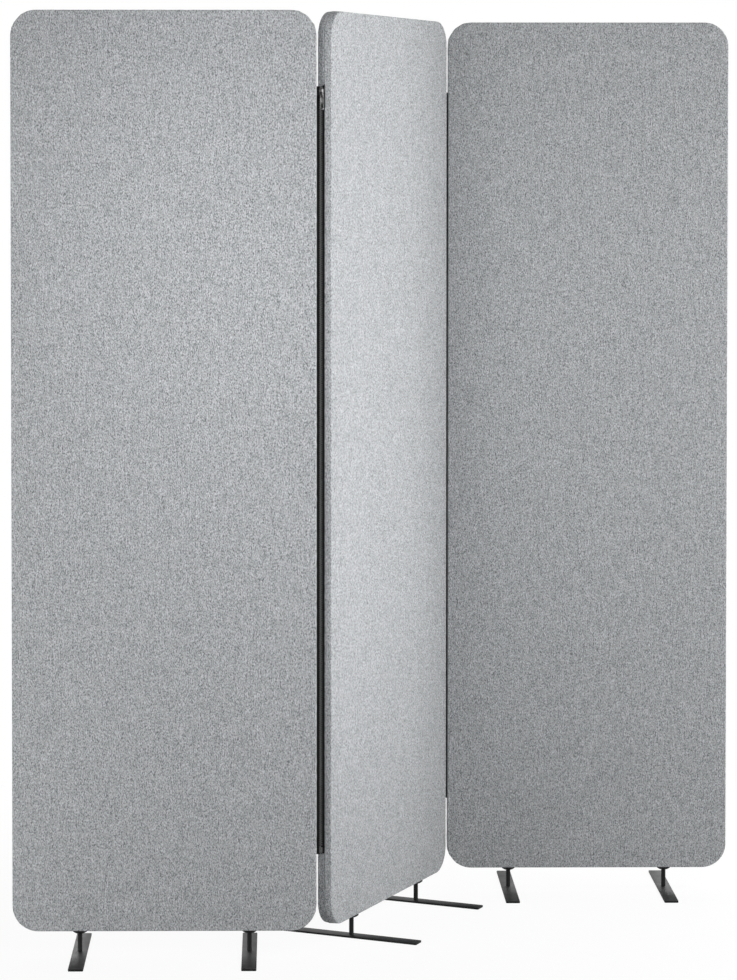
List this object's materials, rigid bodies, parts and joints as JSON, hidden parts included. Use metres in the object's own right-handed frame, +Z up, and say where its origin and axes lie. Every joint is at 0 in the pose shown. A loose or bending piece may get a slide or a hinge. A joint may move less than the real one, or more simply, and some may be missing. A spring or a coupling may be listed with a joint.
{
  "type": "room divider screen",
  "caption": "Free-standing folding room divider: tall rounded fabric panels on steel bar feet, joined edge to edge by zips.",
  "frame": {"origin": "on the floor, under the centre of the middle panel, which is the centre of the screen's footprint", "axes": "+Z up; the left and right panels lie along X, with +X towards the right panel; -Y is the side that the picture shows"},
  "size_m": [1.5112, 0.8708, 1.89],
  "materials": {
    "heather_fabric": "matte",
    "felt_core": "matte",
    "rail_wood": "matte",
    "insert_steel": "satin",
    "black_coat": "satin",
    "zip_tape": "matte",
    "zip_plastic": "satin",
    "slider_metal": "gloss"
  },
  "bodies": {
    "left_panel": {"left_panel_front_cover": "heather_fabric", "left_panel_back_cover": "heather_fabric", "left_panel_core_board": "felt_core", "left_panel_bottom_rail": "rail_wood", "left_panel_left_insert": "insert_steel", "left_panel_left_foot_bar": "black_coat", "left_panel_left_foot_post": "black_coat", "left_panel_left_foot_collar": "black_coat", "left_panel_right_insert": "insert_steel", "left_panel_right_foot_bar": "black_coat", "left_panel_right_foot_post": "black_coat", "left_panel_right_foot_collar": "black_coat"},
    "middle_panel": {"middle_panel_front_cover": "heather_fabric", "middle_panel_back_cover": "heather_fabric", "middle_panel_core_board": "felt_core", "middle_panel_bottom_rail": "rail_wood", "middle_panel_left_insert": "insert_steel", "middle_panel_left_foot_bar": "black_coat", "middle_panel_left_foot_post": "black_coat", "middle_panel_left_foot_collar": "black_coat", "middle_panel_right_insert": "insert_steel", "middle_panel_right_foot_bar": "black_coat", "middle_panel_right_foot_post": "black_coat", "middle_panel_right_foot_collar": "black_coat"},
    "right_panel": {"right_panel_front_cover": "heather_fabric", "right_panel_back_cover": "heather_fabric", "right_panel_core_board": "felt_core", "right_panel_bottom_rail": "rail_wood", "right_panel_left_insert": "insert_steel", "right_panel_left_foot_bar": "black_coat", "right_panel_left_foot_post": "black_coat", "right_panel_left_foot_collar": "black_coat", "right_panel_right_insert": "insert_steel", "right_panel_right_foot_bar": "black_coat", "right_panel_right_foot_post": "black_coat", "right_panel_right_foot_collar": "black_coat"},
    "near_zip": {"near_zip_left_tape": "zip_tape", "near_zip_left_teeth": "zip_plastic", "near_zip_left_top_stop": "slider_metal", "near_zip_middle_tape": "zip_tape", "near_zip_middle_teeth": "zip_plastic", "near_zip_middle_top_stop": "slider_metal", "near_zip_retainer_box": "zip_plastic", "near_zip_insertion_pin": "zip_plastic"},
    "near_zip_slider": {"near_zip_slider": "slider_metal"},
    "near_zip_pull_tab": {"near_zip_pull_tab": "slider_metal"},
    "far_zip": {"far_zip_right_tape": "zip_tape", "far_zip_right_teeth": "zip_plastic", "far_zip_right_top_stop": "slider_metal", "far_zip_middle_tape": "zip_tape", "far_zip_middle_teeth": "zip_plastic", "far_zip_middle_top_stop": "slider_metal", "far_zip_retainer_box": "zip_plastic", "far_zip_insertion_pin": "zip_plastic"},
    "far_zip_slider": {"far_zip_slider": "slider_metal"},
    "far_zip_pull_tab": {"far_zip_pull_tab": "slider_metal"}
  },
  "joints": [
    {"name": "near_fold", "type": "hinge", "parent": "middle_panel", "child": "near_zip", "pos_m": [-0.13034, -0.27575, 0.968], "axis": [0, 0, -1], "range_deg": [-69.85, 5.15]},
    {"name": "near_fold_second_seam", "type": "hinge", "parent": "near_zip", "child": "left_panel", "pos_m": [-0.14555, -0.28538, 0.968], "axis": [0, 0, -1], "range_deg": [-69.85, 5.15]},
    {"name": "far_fold", "type": "hinge", "parent": "middle_panel", "child": "far_zip", "pos_m": [0.13034, 0.27575, 0.968], "axis": [0, 0, -1], "range_deg": [-69.85, 5.15]},
    {"name": "far_fold_second_seam", "type": "hinge", "parent": "far_zip", "child": "right_panel", "pos_m": [0.14555, 0.28538, 0.968], "axis": [0, 0, -1], "range_deg": [-69.85, 5.15]},
    {"name": "near_slider_travel", "type": "slide", "parent": "near_zip", "child": "near_zip_slider", "axis": [0, 0, -1], "range_m": [0, 1.498]},
    {"name": "far_slider_travel", "type": "slide", "parent": "far_zip", "child": "far_zip_slider", "axis": [0, 0, -1], "range_m": [0, 1.498]},
    {"name": "near_pull_swing", "type": "hinge", "parent": "near_zip_slider", "child": "near_zip_pull_tab", "pos_m": [-0.13562, -0.28424, 1.7217], "axis": [-0.8448, -0.5351, 0], "range_deg": [0, 165]},
    {"name": "far_pull_swing", "type": "hinge", "parent": "far_zip_slider", "child": "far_zip_pull_tab", "pos_m": [0.13562, 0.28424, 1.7217], "axis": [0.8448, 0.5351, 0], "range_deg": [0, 165]}
  ],
  "couplings": [
    {"joint": "near_fold_second_seam", "follows": "near_fold", "ratio": 1},
    {"joint": "far_fold_second_seam", "follows": "far_fold", "ratio": 1}
  ]
}
